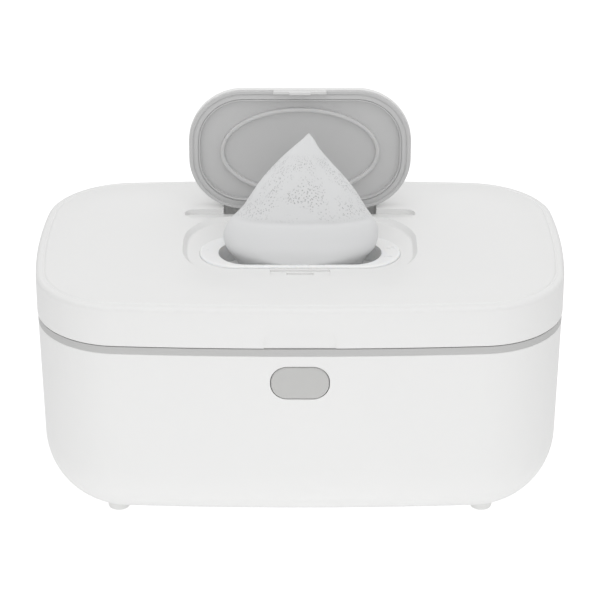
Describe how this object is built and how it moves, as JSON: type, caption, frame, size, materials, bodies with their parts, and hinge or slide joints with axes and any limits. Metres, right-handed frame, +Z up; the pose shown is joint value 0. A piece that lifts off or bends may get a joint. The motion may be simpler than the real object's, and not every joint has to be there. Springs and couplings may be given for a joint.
{
  "type": "wipe warmer",
  "caption": "Tabletop baby wipe warmer and dispenser with a heated tub, a hinged lid with a dispensing opening, a hinged flip cover and a front button.",
  "frame": {"origin": "on the table, under the middle of the body's outline in plan", "axes": "+X to the right as seen from the front, +Y towards the back, +Z up"},
  "size_m": [0.245, 0.1463, 0.1839],
  "materials": {
    "white_plastic": "satin",
    "collar_plastic": "satin",
    "tub_plastic": "fine matt",
    "panel_plastic": "fine matt",
    "cover_panel_plastic": "fine matt",
    "latch_plastic": "fine matt",
    "button_plastic": "fine matt",
    "foot_rubber": "matt",
    "seal_silicone": "soft matt",
    "wipe_cloth": "embossed nonwoven",
    "steel": "bright",
    "spreader_metal": "brushed",
    "film_plastic": "glossy film",
    "foam": "open foam",
    "board_laminate": "solder mask",
    "black_resin": "matt",
    "can_metal": "satin",
    "header_plastic": "matt",
    "pin_metal": "bright",
    "led_lens": "clear",
    "lead_sleeve": "matt"
  },
  "bodies": {
    "base": {"base_shell": "white_plastic", "foot_front_left": "foot_rubber", "foot_front_right": "foot_rubber", "foot_back_left": "foot_rubber", "foot_back_right": "foot_rubber", "inner_tub": "tub_plastic", "tub_screws": "steel", "heat_spreader": "spreader_metal", "heater_film": "film_plastic", "insulation_foam": "foam", "temperature_sensor": "black_resin", "thermal_fuse": "can_metal", "control_board": "board_laminate", "board_screws": "steel", "board_chip": "black_resin", "board_capacitors": "can_metal", "board_headers": "header_plastic", "tact_switch": "can_metal", "button_board": "board_laminate", "status_led": "led_lens", "dc_jack": "black_resin", "dc_jack_pin": "pin_metal", "dc_jack_nut": "can_metal", "power_lead": "lead_sleeve", "heater_lead": "lead_sleeve", "sensor_lead": "lead_sleeve", "button_lead": "lead_sleeve", "wipe_stack": "wipe_cloth", "lid_hinge_pin_left": "steel", "lid_hinge_pin_right": "steel"},
    "front_button": {"power_button": "button_plastic", "switch_plunger": "button_plastic"},
    "lid": {"lid_shell": "white_plastic", "lid_inner_panel": "panel_plastic", "lid_gasket": "seal_silicone", "lid_panel_screws": "steel", "dispensing_collar": "collar_plastic", "flip_hinge_pin_left": "steel", "flip_hinge_pin_right": "steel", "popup_wipe": "wipe_cloth"},
    "flip_cover": {"flip_cover_outer": "white_plastic", "flip_cover_inner": "cover_panel_plastic", "flip_seal": "seal_silicone", "flip_latch_tab": "latch_plastic"}
  },
  "joints": [
    {"name": "lid_hinge", "type": "hinge", "parent": "base", "child": "lid", "pos_m": [0, 0.071, 0.096], "axis": [-1, 0, 0], "range_deg": [0, 100]},
    {"name": "flip_hinge", "type": "hinge", "parent": "lid", "child": "flip_cover", "pos_m": [0, 0.02745, 0.11725], "axis": [1, 0, 0], "range_deg": [0, 91.5], "deforming": ["popup_wipe"]},
    {"name": "button_press", "type": "slide", "parent": "base", "child": "front_button", "axis": [0, 1, 0], "range_m": [0, 0.0008], "stiffness_N_per_m": 2500}
  ]
}
